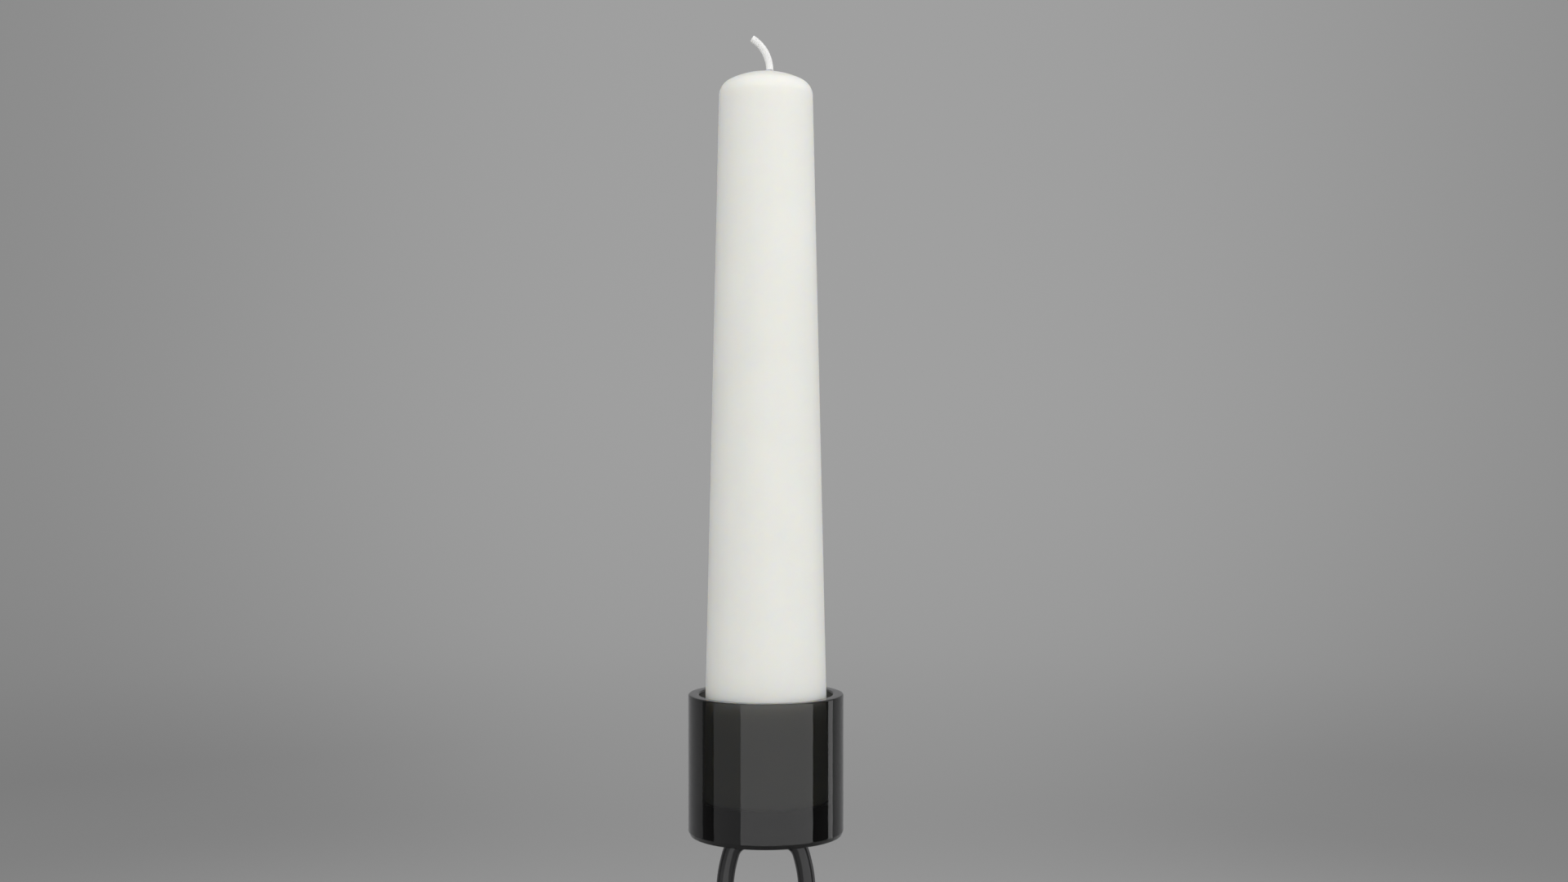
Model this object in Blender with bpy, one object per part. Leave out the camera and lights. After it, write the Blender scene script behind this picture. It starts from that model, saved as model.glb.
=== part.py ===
"""Candle holder: a smoked-glass cup screwed to a bent steel arch on a round steel base, with its candle.

Units are metres, +Z is up. The origin is the centre of the footprint, on the surface the felt pads rest on.
The arch lies in the XZ plane. The wick curls towards -X.
"""

import math

import bmesh
import bpy
from mathutils import Vector

MM = 0.001
FIT = 0.3 * MM  # clearance kept between touching pieces

# ---- driving dimensions -------------------------------------------------------------------------------------------
# base
PAD_RADIUS = 6.0 * MM
PAD_THICK = 1.5 * MM
PAD_CIRCLE = 48.0 * MM  # pads sit on this radius, at 45 degrees to the arch
BASE_RADIUS = 60.0 * MM
BASE_THICK = 6.0 * MM
BASE_TOP_ROUND = 1.6 * MM
BASE_BOTTOM_ROUND = 0.6 * MM
SOCKET_DEPTH = 2.0 * MM  # the legs stand in shallow sockets

# arch: one 6 mm rod bent to an inverted U
ROD_RADIUS = 3.0 * MM
ARCH_FLAT_HALF = 5.6 * MM  # half of the straight stretch under the cup
BEND_TIGHT = 6.75 * MM  # centreline radius of the shoulder
BEND_WIDE = 47.6 * MM  # centreline radius of the easing into the leg
EASE_ANGLE = 0.30  # radians of the turn left to the wide bend
ARCH_DROP = 2.15 * MM  # arch centreline below the underside of the cup

# cup
CUP_UNDERSIDE = 99.7 * MM
CUP_RADIUS = 26.75 * MM
CUP_HEIGHT = 48.1 * MM
CUP_BORE = 23.0 * MM
CUP_FLOOR = 11.6 * MM
RIM_ROUND = 0.55 * MM
HEEL_HEIGHT = 1.5 * MM  # chamfer at the bottom outer edge
HEEL_INSET = 0.6 * MM
RECESS_RADIUS = 10.1 * MM  # under the cup, takes the boss
RECESS_DEPTH = 3.3 * MM
COUNTERBORE_RADIUS = 5.2 * MM  # in the cup floor, takes the screw head
COUNTERBORE_DEPTH = 5.6 * MM
GLASS_HOLE_RADIUS = 2.2 * MM

# boss welded on the arch
BOSS_RADIUS = 9.5 * MM
BOSS_BELOW_CUP = 2.4 * MM

# fasteners, M3
THREAD_RADIUS = 1.5 * MM
CUP_SCREW_LENGTH = 12.0 * MM
CUP_SCREW_HEAD_RADIUS = 2.9 * MM
CUP_SCREW_HEAD_HEIGHT = 2.2 * MM
BASE_SCREW_LENGTH = 10.0 * MM
BASE_SCREW_HEAD_RADIUS = 3.0 * MM
SOCKET_ACROSS_FLATS = 2.0 * MM
SEAL_THICK = 0.8 * MM
WASHER_THICK = 0.8 * MM

# candle
CANDLE_HEIGHT = 250.0 * MM
CANDLE_BASE_RADIUS = 21.58 * MM
CANDLE_TAPER = 0.0224  # radius lost for each unit of height
CANDLE_CAP_RADIUS = 28.7 * MM
CANDLE_SHOULDER = 6.0 * MM
CANDLE_FOOT_ROUND = 1.4 * MM
WICK_RADIUS = 1.25 * MM
WICK_TOP_OFFSET = 1.3 * MM  # the wick leaves the dome a little to +X
WICK_FOOT_OFFSET = 0.2 * MM
WICK_CURL_RADIUS = 12.8 * MM
WICK_CURL_ANGLE = math.radians(58.5)

LATHE_STEPS = 60

# ---- derived levels -----------------------------------------------------------------------------------------------
BASE_BOTTOM = PAD_THICK + FIT
BASE_TOP = BASE_BOTTOM + BASE_THICK
LEG_FOOT = BASE_TOP - SOCKET_DEPTH + FIT
ARCH_TOP = CUP_UNDERSIDE - ARCH_DROP
CUP_FLOOR_TOP = CUP_UNDERSIDE + CUP_FLOOR
CANDLE_FOOT = CUP_FLOOR_TOP + FIT
CANDLE_TOP = CANDLE_FOOT + CANDLE_HEIGHT
LEG_X = (
    ARCH_FLAT_HALF
    + BEND_TIGHT * math.cos(EASE_ANGLE)
    + BEND_WIDE * (1 - math.cos(EASE_ANGLE))
)


# ---- helpers ------------------------------------------------------------------------------------------------------
def clear_scene():
    for obj in list(bpy.data.objects):
        bpy.data.objects.remove(obj, do_unlink=True)


def material(name, colour, roughness, metallic=0.0, transmission=0.0):
    mat = bpy.data.materials.new(name)
    mat.use_nodes = True
    shader = mat.node_tree.nodes["Principled BSDF"]
    shader.inputs["Base Color"].default_value = (*colour, 1.0)
    shader.inputs["Roughness"].default_value = roughness
    shader.inputs["Metallic"].default_value = metallic
    shader.inputs["Transmission Weight"].default_value = transmission
    mat.diffuse_color = (*colour, 1.0)
    return mat


def rounded(corners, steps=6):
    """The (r, z) outline with each corner (r, z, radius) turned into an arc."""
    out = []
    count = len(corners)
    for i, (r, z, radius) in enumerate(corners):
        here = Vector((r, z))
        if radius <= 0:
            out.append(here)
            continue
        back = (Vector(corners[i - 1][:2]) - here).normalized()
        ahead = (Vector(corners[(i + 1) % count][:2]) - here).normalized()
        half = back.angle(ahead) / 2
        reach = radius / math.tan(half)
        centre = here + (back + ahead).normalized() * (radius / math.sin(half))
        start, end = here + back * reach - centre, here + ahead * reach - centre
        turn = start.angle_signed(end)  # Vector.angle_signed is clockwise positive
        for k in range(steps + 1):
            a = -turn * k / steps
            out.append(
                centre
                + Vector(
                    (
                        start.x * math.cos(a) - start.y * math.sin(a),
                        start.x * math.sin(a) + start.y * math.cos(a),
                    )
                )
            )
    return [(p.x, p.y) for p in out]


def finish(bm, name, mat, sharp_angle=30):
    bmesh.ops.remove_doubles(bm, verts=bm.verts, dist=1e-7)
    bmesh.ops.recalc_face_normals(bm, faces=bm.faces)
    mesh = bpy.data.meshes.new(name)
    bm.to_mesh(mesh)
    bm.free()
    if sum(t.area * t.normal.dot(t.center) for t in mesh.polygons) < 0:
        mesh.flip_normals()
    mesh.shade_smooth()
    mesh.set_sharp_from_angle(angle=math.radians(sharp_angle))
    obj = bpy.data.objects.new(name, mesh)
    bpy.context.collection.objects.link(obj)
    if mat:
        mesh.materials.append(mat)
    return obj


def lathe(name, outline, mat, closed, steps=LATHE_STEPS, sharp_angle=30):
    """Spins an (r, z) outline about Z. An open outline starts and ends on the axis."""
    bm = bmesh.new()
    verts = [bm.verts.new((r, 0.0, z)) for r, z in outline]
    pairs = list(zip(verts, verts[1:]))
    if closed:
        pairs.append((verts[-1], verts[0]))
    edges = [bm.edges.new(p) for p in pairs]
    bmesh.ops.spin(
        bm,
        geom=verts + edges,
        cent=(0, 0, 0),
        axis=(0, 0, 1),
        angle=2 * math.pi,
        steps=steps,
        use_merge=True,
    )
    return finish(bm, name, mat, sharp_angle)


def sweep(name, path, radius, sides, mat):
    """A round bar along a path that lies in a plane of constant Y. The ends are cut square."""
    bm = bmesh.new()
    rings = []
    for i, point in enumerate(path):
        before, after = path[max(i - 1, 0)], path[min(i + 1, len(path) - 1)]
        along = (after - before).normalized()
        across = Vector((0, 1, 0)).cross(along).normalized()
        rings.append(
            [
                bm.verts.new(
                    point
                    + radius
                    * (
                        across * math.cos(2 * math.pi * k / sides)
                        + Vector((0, 1, 0)) * math.sin(2 * math.pi * k / sides)
                    )
                )
                for k in range(sides)
            ]
        )
    for a, b in zip(rings, rings[1:]):
        for k in range(sides):
            n = (k + 1) % sides
            bm.faces.new((a[k], a[n], b[n], b[k]))
    bm.faces.new(list(reversed(rings[0])))
    bm.faces.new(rings[-1])
    return finish(bm, name, mat)


def cut(target, cutter):
    cutter.hide_render = True
    cutter.display_type = "WIRE"
    mod = target.modifiers.new("cut_" + cutter.name, "BOOLEAN")
    mod.operation = "DIFFERENCE"
    mod.solver = "EXACT"
    mod.object = cutter


def hex_cutter(name, across_flats, depth):
    bm = bmesh.new()
    bmesh.ops.create_cone(
        bm,
        cap_ends=True,
        segments=6,
        radius1=across_flats / math.sqrt(3),
        radius2=across_flats / math.sqrt(3),
        depth=depth,
    )
    return finish(bm, name, None)


# ---- pieces -------------------------------------------------------------------------------------------------------
def make_pads(felt):
    places = {
        "foot_pad_front_left": (-1, -1),
        "foot_pad_front_right": (1, -1),
        "foot_pad_back_left": (-1, 1),
        "foot_pad_back_right": (1, 1),
    }
    outline = rounded(
        [
            (0, 0, 0),
            (PAD_RADIUS, 0, 0.3 * MM),
            (PAD_RADIUS, PAD_THICK, 0.3 * MM),
            (0, PAD_THICK, 0),
        ],
        1,
    )
    for name, (sx, sy) in places.items():
        pad = lathe(name, outline, felt, closed=False, steps=24)
        pad.location = (
            sx * PAD_CIRCLE * math.sqrt(0.5),
            sy * PAD_CIRCLE * math.sqrt(0.5),
            0,
        )


def make_base(enamel):
    outline = rounded(
        [
            (0, BASE_BOTTOM, 0),
            (BASE_RADIUS, BASE_BOTTOM, BASE_BOTTOM_ROUND),
            (BASE_RADIUS, BASE_TOP, BASE_TOP_ROUND),
            (0, BASE_TOP, 0),
        ],
        3,
    )
    base = lathe("base_plate", outline, enamel, closed=False, steps=72)
    hole = THREAD_RADIUS + FIT
    head = BASE_SCREW_HEAD_RADIUS + FIT
    for side, sign in (("left", -1), ("right", 1)):
        cutter = lathe(
            f"cutter_base_{side}",
            [
                (0, BASE_BOTTOM - MM),
                (head, BASE_BOTTOM - MM),
                (head, BASE_BOTTOM + 0.5 * MM),
                (hole, BASE_BOTTOM + 0.5 * MM + head - hole),
                (hole, BASE_TOP - SOCKET_DEPTH),
                (ROD_RADIUS + FIT, BASE_TOP - SOCKET_DEPTH),
                (ROD_RADIUS + FIT, BASE_TOP + MM),
                (0, BASE_TOP + MM),
            ],
            None,
            closed=False,
            steps=20,
        )
        cutter.location.x = sign * LEG_X
        cut(base, cutter)


def arch_path():
    """Centreline from the left foot, over the arch, to the right foot."""
    right = []
    shoulder = Vector((ARCH_FLAT_HALF, 0, ARCH_TOP - BEND_TIGHT))
    turn = math.pi / 2 - EASE_ANGLE
    right.append(Vector((ARCH_FLAT_HALF / 2, 0, ARCH_TOP)))
    for k in range(9):
        a = turn * k / 8
        right.append(
            shoulder + BEND_TIGHT * Vector((math.sin(a), 0, math.cos(a)))
        )
    ease = right[-1] - BEND_WIDE * Vector((math.sin(turn), 0, math.cos(turn)))
    for k in range(1, 6):
        a = turn + EASE_ANGLE * k / 5
        right.append(ease + BEND_WIDE * Vector((math.sin(a), 0, math.cos(a))))
    right.append(Vector((LEG_X, 0, LEG_FOOT)))
    left = [Vector((-p.x, 0, p.z)) for p in reversed(right)]
    return left + [Vector((0, 0, ARCH_TOP))] + right


def make_arch(enamel):
    arch = sweep("arch_rod", arch_path(), ROD_RADIUS, 20, enamel)
    hole = THREAD_RADIUS + FIT
    for side, sign in (("left", -1), ("right", 1)):
        top = BASE_BOTTOM + BASE_SCREW_LENGTH + 2 * FIT
        cutter = lathe(
            f"cutter_leg_{side}",
            [(0, LEG_FOOT - MM), (hole, LEG_FOOT - MM), (hole, top), (0, top)],
            None,
            closed=False,
            steps=20,
        )
        cutter.location.x = sign * LEG_X
        cut(arch, cutter)
    bottom = cup_screw_levels()["tip"] - FIT
    top = ARCH_TOP + 2 * ROD_RADIUS
    cutter = lathe(
        "cutter_arch_top",
        [(0, bottom), (hole, bottom), (hole, top), (0, top)],
        None,
        closed=False,
        steps=20,
    )
    cut(arch, cutter)


def cup_screw_levels():
    """Heights of the stack in the counterbore, from the glass upwards."""
    seat = CUP_FLOOR_TOP - COUNTERBORE_DEPTH
    seal = seat + FIT
    washer = seal + SEAL_THICK + FIT
    head = washer + WASHER_THICK + FIT
    return {
        "seal": seal,
        "washer": washer,
        "head": head,
        "tip": head - CUP_SCREW_LENGTH,
    }


def boss_top():
    return CUP_UNDERSIDE + RECESS_DEPTH - SEAL_THICK - 2 * FIT


def make_boss(enamel):
    hole = THREAD_RADIUS + FIT
    low = CUP_UNDERSIDE - BOSS_BELOW_CUP
    outline = rounded(
        [
            (hole, low, 0),
            (BOSS_RADIUS, low, 0.8 * MM),
            (BOSS_RADIUS, boss_top(), 0.4 * MM),
            (hole, boss_top(), 0),
        ],
        2,
    )
    boss = lathe("arch_boss", outline, enamel, closed=True, steps=36)
    groove = lathe(
        "cutter_groove",
        [
            (0, -15 * MM),
            (ROD_RADIUS + FIT, -15 * MM),
            (ROD_RADIUS + FIT, 15 * MM),
            (0, 15 * MM),
        ],
        None,
        closed=False,
        steps=24,
    )
    groove.rotation_euler = (0, math.pi / 2, 0)
    groove.location = (0, 0, ARCH_TOP)
    cut(boss, groove)


def make_cup(glass):
    top = CUP_UNDERSIDE + CUP_HEIGHT
    outline = rounded(
        [
            (GLASS_HOLE_RADIUS, CUP_UNDERSIDE + RECESS_DEPTH, 0),
            (RECESS_RADIUS, CUP_UNDERSIDE + RECESS_DEPTH, 0),
            (RECESS_RADIUS, CUP_UNDERSIDE, 0.3 * MM),
            (CUP_RADIUS - HEEL_INSET, CUP_UNDERSIDE, 0.3 * MM),
            (CUP_RADIUS, CUP_UNDERSIDE + HEEL_HEIGHT, 0.5 * MM),
            (CUP_RADIUS, top, RIM_ROUND),
            (CUP_BORE, top, RIM_ROUND),
            (CUP_BORE, CUP_FLOOR_TOP, 1.0 * MM),
            (COUNTERBORE_RADIUS, CUP_FLOOR_TOP, 0.3 * MM),
            (COUNTERBORE_RADIUS, CUP_FLOOR_TOP - COUNTERBORE_DEPTH, 0),
            (GLASS_HOLE_RADIUS, CUP_FLOOR_TOP - COUNTERBORE_DEPTH, 0),
        ],
        2,
    )
    lathe("glass_cup", outline, glass, closed=True, steps=LATHE_STEPS)


def ring(name, inner, outer, low, thick, mat, round_by):
    outline = rounded(
        [
            (inner, low, round_by),
            (outer, low, round_by),
            (outer, low + thick, round_by),
            (inner, low + thick, round_by),
        ],
        1,
    )
    return lathe(name, outline, mat, closed=True, steps=24)


def make_cup_fixing(steel, silicone):
    level = cup_screw_levels()
    bore = THREAD_RADIUS + FIT
    ring(
        "cup_gasket_upper",
        bore,
        COUNTERBORE_RADIUS - 0.4 * MM,
        level["seal"],
        SEAL_THICK,
        silicone,
        0.15 * MM,
    )
    ring(
        "cup_washer",
        bore,
        COUNTERBORE_RADIUS - 0.6 * MM,
        level["washer"],
        WASHER_THICK,
        steel,
        0.12 * MM,
    )
    ring(
        "cup_gasket_lower",
        bore,
        BOSS_RADIUS,
        boss_top() + FIT,
        SEAL_THICK,
        silicone,
        0.15 * MM,
    )
    outline = rounded(
        [
            (0, level["tip"], 0),
            (THREAD_RADIUS, level["tip"], 0.3 * MM),
            (THREAD_RADIUS, level["head"], 0),
            (CUP_SCREW_HEAD_RADIUS, level["head"], 0.15 * MM),
            (CUP_SCREW_HEAD_RADIUS, level["head"] + CUP_SCREW_HEAD_HEIGHT, 0.7 * MM),
            (0, level["head"] + CUP_SCREW_HEAD_HEIGHT, 0),
        ],
        2,
    )
    screw = lathe("cup_screw", outline, steel, closed=False, steps=24)
    key = hex_cutter("cutter_cup_screw_key", SOCKET_ACROSS_FLATS, 2.4 * MM)
    key.location.z = level["head"] + CUP_SCREW_HEAD_HEIGHT
    cut(screw, key)


def make_base_screws(steel):
    low = BASE_BOTTOM + 0.1 * MM
    cone = BASE_SCREW_HEAD_RADIUS - THREAD_RADIUS
    outline = [
        (0, low),
        (BASE_SCREW_HEAD_RADIUS, low),
        (BASE_SCREW_HEAD_RADIUS, low + 0.2 * MM),
        (THREAD_RADIUS, low + 0.2 * MM + cone),
        (THREAD_RADIUS, BASE_BOTTOM + BASE_SCREW_LENGTH - 0.3 * MM),
        (THREAD_RADIUS - 0.3 * MM, BASE_BOTTOM + BASE_SCREW_LENGTH),
        (0, BASE_BOTTOM + BASE_SCREW_LENGTH),
    ]
    for side, sign in (("left", -1), ("right", 1)):
        screw = lathe(f"base_screw_{side}", outline, steel, closed=False, steps=24)
        screw.location.x = sign * LEG_X
        key = hex_cutter(f"cutter_base_key_{side}", SOCKET_ACROSS_FLATS, 2.4 * MM)
        key.location = (sign * LEG_X, 0, low)
        cut(screw, key)


def candle_outline():
    """Half section: flat foot, straight taper, shoulder arc and shallow cap, each tangent to the next."""
    slope = math.hypot(1, CANDLE_TAPER)
    out_r, out_z = 1 / slope, CANDLE_TAPER / slope  # outward normal of the side
    cap_centre = CANDLE_HEIGHT - CANDLE_CAP_RADIUS

    def shoulder_centre(z):
        r = CANDLE_BASE_RADIUS - CANDLE_TAPER * z
        return r - CANDLE_SHOULDER * out_r, z - CANDLE_SHOULDER * out_z

    low, high = CANDLE_HEIGHT - 30 * MM, CANDLE_HEIGHT
    for _ in range(60):
        mid = (low + high) / 2
        r, z = shoulder_centre(mid)
        inside = math.hypot(r, z - cap_centre) < CANDLE_CAP_RADIUS - CANDLE_SHOULDER
        low, high = (mid, high) if inside else (low, mid)
    r0, z0 = shoulder_centre(low)
    first = math.atan2(out_z, out_r)
    last = math.atan2(z0 - cap_centre, r0)
    outline = rounded(
        [
            (0, 0, 0),
            (CANDLE_BASE_RADIUS, 0, CANDLE_FOOT_ROUND),
            (CANDLE_BASE_RADIUS - CANDLE_TAPER * low, low, 0),
        ],
        3,
    )[:-1]
    body_low = outline[-1][1]
    for k in range(1, 3):
        z = body_low + (low - body_low) * k / 3
        outline.append((CANDLE_BASE_RADIUS - CANDLE_TAPER * z, z))
    for k in range(7):
        a = first + (last - first) * k / 6
        outline.append(
            (r0 + CANDLE_SHOULDER * math.cos(a), z0 + CANDLE_SHOULDER * math.sin(a))
        )
    for k in range(1, 6):
        a = last + (math.pi / 2 - last) * k / 5
        outline.append(
            (
                CANDLE_CAP_RADIUS * math.cos(a) if k < 5 else 0.0,
                cap_centre + CANDLE_CAP_RADIUS * math.sin(a),
            )
        )
    return [(r, CANDLE_FOOT + z) for r, z in outline]


def wick_root():
    """The wick runs straight up through the wax, leaning slightly to +X."""
    return (
        Vector((WICK_FOOT_OFFSET, 0, CANDLE_FOOT)),
        Vector((WICK_TOP_OFFSET, 0, CANDLE_TOP + 0.6 * MM)),
    )


def make_candle(wax, cotton):
    body = lathe(
        "candle_wax", candle_outline(), wax, closed=False, steps=56, sharp_angle=40
    )
    foot, top = wick_root()
    lean = (top - foot).normalized()
    bore = sweep(
        "cutter_wick_bore",
        [foot - 5 * MM * lean, top + 5 * MM * lean],
        WICK_RADIUS + FIT,
        16,
        None,
    )
    cut(body, bore)

    path = [foot + lean * (0.5 * MM + (top - foot).length * k / 3) for k in range(3)]
    path.append(top)
    start = math.atan2(lean.x, lean.z)  # lean to +X before the curl to -X begins
    centre = top - WICK_CURL_RADIUS * Vector((math.cos(start), 0, -math.sin(start)))
    for k in range(1, 13):
        a = WICK_CURL_ANGLE * k / 12 - start
        path.append(
            centre + WICK_CURL_RADIUS * Vector((math.cos(a), 0, math.sin(a)))
        )
    sweep("candle_wick", path, WICK_RADIUS, 12, cotton)


def main():
    clear_scene()
    enamel = material("gloss_black_enamel", (0.012, 0.012, 0.013), 0.12, 0.0)
    glass = material("smoked_glass", (0.03, 0.03, 0.032), 0.02, 0.0, 1.0)
    steel = material("stainless_steel", (0.62, 0.61, 0.59), 0.28, 1.0)
    silicone = material("clear_silicone", (0.55, 0.55, 0.53), 0.5)
    felt = material("dark_felt", (0.04, 0.04, 0.042), 0.95)
    wax = material("ivory_wax", (0.86, 0.85, 0.78), 0.4)
    cotton = material("cotton_wick", (0.9, 0.89, 0.86), 0.85)
    make_pads(felt)
    make_base(enamel)
    make_base_screws(steel)
    make_arch(enamel)
    make_boss(enamel)
    make_cup_fixing(steel, silicone)
    make_cup(glass)
    make_candle(wax, cotton)


main()
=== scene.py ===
"""Looks of the candle holder: smoked-glass cup on a gloss black arch and base, with a tapered wax candle."""

import math

import bmesh
import bpy
import numpy as np
from mathutils import Matrix, Vector


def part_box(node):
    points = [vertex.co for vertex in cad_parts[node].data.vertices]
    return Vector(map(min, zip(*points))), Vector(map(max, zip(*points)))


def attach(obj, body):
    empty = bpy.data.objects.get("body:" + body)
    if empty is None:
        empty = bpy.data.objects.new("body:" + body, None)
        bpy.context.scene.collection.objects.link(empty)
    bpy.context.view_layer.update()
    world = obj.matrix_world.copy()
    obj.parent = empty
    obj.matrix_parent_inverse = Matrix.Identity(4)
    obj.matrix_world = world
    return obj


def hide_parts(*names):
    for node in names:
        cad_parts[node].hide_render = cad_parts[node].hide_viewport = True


MM = 0.001
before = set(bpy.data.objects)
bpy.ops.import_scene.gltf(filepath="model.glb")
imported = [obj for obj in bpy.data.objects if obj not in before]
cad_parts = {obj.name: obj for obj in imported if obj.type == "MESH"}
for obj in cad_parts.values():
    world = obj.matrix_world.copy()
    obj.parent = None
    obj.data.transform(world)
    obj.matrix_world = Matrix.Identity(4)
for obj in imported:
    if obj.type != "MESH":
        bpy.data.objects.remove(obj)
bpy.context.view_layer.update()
scene = bpy.context.scene

# ---- sizes shared with the CAD, and the levels its boxes give -------------------------------------------------------
PAD_RADIUS = 6.0 * MM
BASE_RADIUS = 60.0 * MM
ROD_RADIUS = 3.0 * MM
ARCH_FLAT_HALF = 5.6 * MM
BEND_TIGHT = 6.75 * MM
BEND_WIDE = 47.6 * MM
EASE_ANGLE = 0.30
CUP_RADIUS = 26.75 * MM
CUP_BORE = 23.0 * MM
CUP_FLOOR = 11.6 * MM
RIM_ROUND = 0.55 * MM
HEEL_HEIGHT = 1.5 * MM
HEEL_INSET = 0.6 * MM
RECESS_RADIUS = 10.1 * MM
RECESS_DEPTH = 3.3 * MM
COUNTERBORE_RADIUS = 5.2 * MM
COUNTERBORE_DEPTH = 5.6 * MM
GLASS_HOLE_RADIUS = 2.2 * MM
BOSS_RADIUS = 9.5 * MM
CANDLE_BASE_RADIUS = 21.58 * MM
CANDLE_TAPER = 0.0224
CANDLE_CAP_RADIUS = 28.7 * MM
CANDLE_SHOULDER = 6.0 * MM
WICK_RADIUS = 1.25 * MM
WICK_TOP_OFFSET = 1.3 * MM
WICK_FOOT_OFFSET = 0.2 * MM
WICK_CURL_RADIUS = 12.8 * MM
WICK_CURL_ANGLE = math.radians(58.5)
LEG_X = (
    ARCH_FLAT_HALF
    + BEND_TIGHT * math.cos(EASE_ANGLE)
    + BEND_WIDE * (1 - math.cos(EASE_ANGLE))
)

cup_lo, cup_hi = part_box("glass_cup")
wax_lo, wax_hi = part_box("candle_wax")
rod_lo, rod_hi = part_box("arch_rod")
base_lo, base_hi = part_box("base_plate")
boss_lo, boss_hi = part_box("arch_boss")
CUP_UNDER, CUP_TOP = cup_lo.z, cup_hi.z
CUP_FLOOR_TOP = CUP_UNDER + CUP_FLOOR
CANDLE_FOOT = wax_lo.z
CANDLE_HEIGHT = 250.0 * MM
CANDLE_TOP = CANDLE_FOOT + CANDLE_HEIGHT
ARCH_TOP = rod_hi.z - ROD_RADIUS
LEG_FOOT = rod_lo.z
BASE_BOTTOM, BASE_TOP = base_lo.z, base_hi.z


# ---- node helpers ----------------------------------------------------------------------------------------------------
class Shader:
    """A material, with short calls for its nodes."""

    def __init__(self, name):
        self.mat = bpy.data.materials.new(name)
        self.mat.use_nodes = True
        self.tree = self.mat.node_tree
        self.tree.nodes.clear()
        self.out = self.add("ShaderNodeOutputMaterial")
        self.coord = self.add("ShaderNodeTexCoord")

    def add(self, kind, **settings):
        node = self.tree.nodes.new(kind)
        for key, value in settings.items():
            setattr(node, key, value)
        return node

    def link(self, a, b):
        self.tree.links.new(a, b)
        return a

    def stretched(self, x, y, z):
        node = self.add("ShaderNodeMapping")
        node.inputs["Scale"].default_value = (x, y, z)
        self.link(self.coord.outputs["Object"], node.inputs["Vector"])
        return node.outputs["Vector"]

    def noise(self, scale, detail=3.0, roughness=0.5, vector=None, distortion=0.0):
        node = self.add("ShaderNodeTexNoise")
        node.inputs["Scale"].default_value = scale
        node.inputs["Detail"].default_value = detail
        node.inputs["Roughness"].default_value = roughness
        node.inputs["Distortion"].default_value = distortion
        self.link(vector or self.coord.outputs["Object"], node.inputs["Vector"])
        return node.outputs["Fac"]

    def ranged(self, value, low, high, to_low, to_high):
        node = self.add("ShaderNodeMapRange")
        for key, number in (
            ("From Min", low),
            ("From Max", high),
            ("To Min", to_low),
            ("To Max", to_high),
        ):
            node.inputs[key].default_value = number
        self.link(value, node.inputs["Value"])
        return node.outputs["Result"]

    def maths(self, operation, a, b):
        node = self.add("ShaderNodeMath", operation=operation)
        for i, v in enumerate((a, b)):
            if isinstance(v, (int, float)):
                node.inputs[i].default_value = v
            else:
                self.link(v, node.inputs[i])
        return node.outputs["Value"]

    def mixed(self, factor, a, b):
        node = self.add("ShaderNodeMix", data_type="RGBA")
        self.link(factor, node.inputs["Factor"])
        for key, v in (("A", a), ("B", b)):
            socket = [s for s in node.inputs if s.name == key and s.type == "RGBA"][0]
            if isinstance(v, tuple):
                socket.default_value = (*v, 1.0)
            else:
                self.link(v, socket)
        return [s for s in node.outputs if s.type == "RGBA"][0]

    def bump(self, height, strength, distance, normal=None):
        node = self.add("ShaderNodeBump")
        node.inputs["Strength"].default_value = strength
        node.inputs["Distance"].default_value = distance
        self.link(height, node.inputs["Height"])
        if normal:
            self.link(normal, node.inputs["Normal"])
        return node.outputs["Normal"]

    def principled(self, **sockets):
        node = self.add("ShaderNodeBsdfPrincipled")
        for key, value in sockets.items():
            socket = node.inputs[key.replace("_", " ")]
            if isinstance(value, bpy.types.NodeSocket):
                self.link(value, socket)
            elif isinstance(value, tuple) and len(value) == 3 and socket.type == "RGBA":
                socket.default_value = (*value, 1.0)
            else:
                socket.default_value = value
        self.link(node.outputs["BSDF"], self.out.inputs["Surface"])
        return node


# ---- materials -------------------------------------------------------------------------------------------------------
def wax_material():
    s = Shader("ivory_wax")
    cloud = s.noise(28.0, 4.0, 0.55)
    streak = s.noise(60.0, 3.0, 0.5, s.stretched(1.0, 1.0, 0.06))
    tone = s.maths(
        "ADD", s.maths("MULTIPLY", cloud, 0.6), s.maths("MULTIPLY", streak, 0.4)
    )
    colour = s.mixed(
        s.ranged(tone, 0.3, 0.7, 0.0, 1.0), WAX_DARK, WAX_LIGHT
    )
    rough = s.ranged(s.noise(420.0, 3.0, 0.6), 0.3, 0.7, 0.36, 0.50)
    skin = s.bump(s.noise(900.0, 4.0, 0.6), 0.10, 0.02 * MM)
    skin = s.bump(s.noise(70.0, 2.0, 0.5, s.stretched(1.0, 1.0, 0.25)), 0.25, 0.06 * MM, skin)
    s.principled(
        Base_Color=colour,
        Roughness=rough,
        IOR=1.44,
        Subsurface_Weight=1.0,
        Subsurface_Radius=(1.0, 0.86, 0.62),
        Subsurface_Scale=WAX_SCATTER,
        Subsurface_Anisotropy=0.3,
        Specular_IOR_Level=0.3,
        Normal=skin,
    )
    return s.mat


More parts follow.
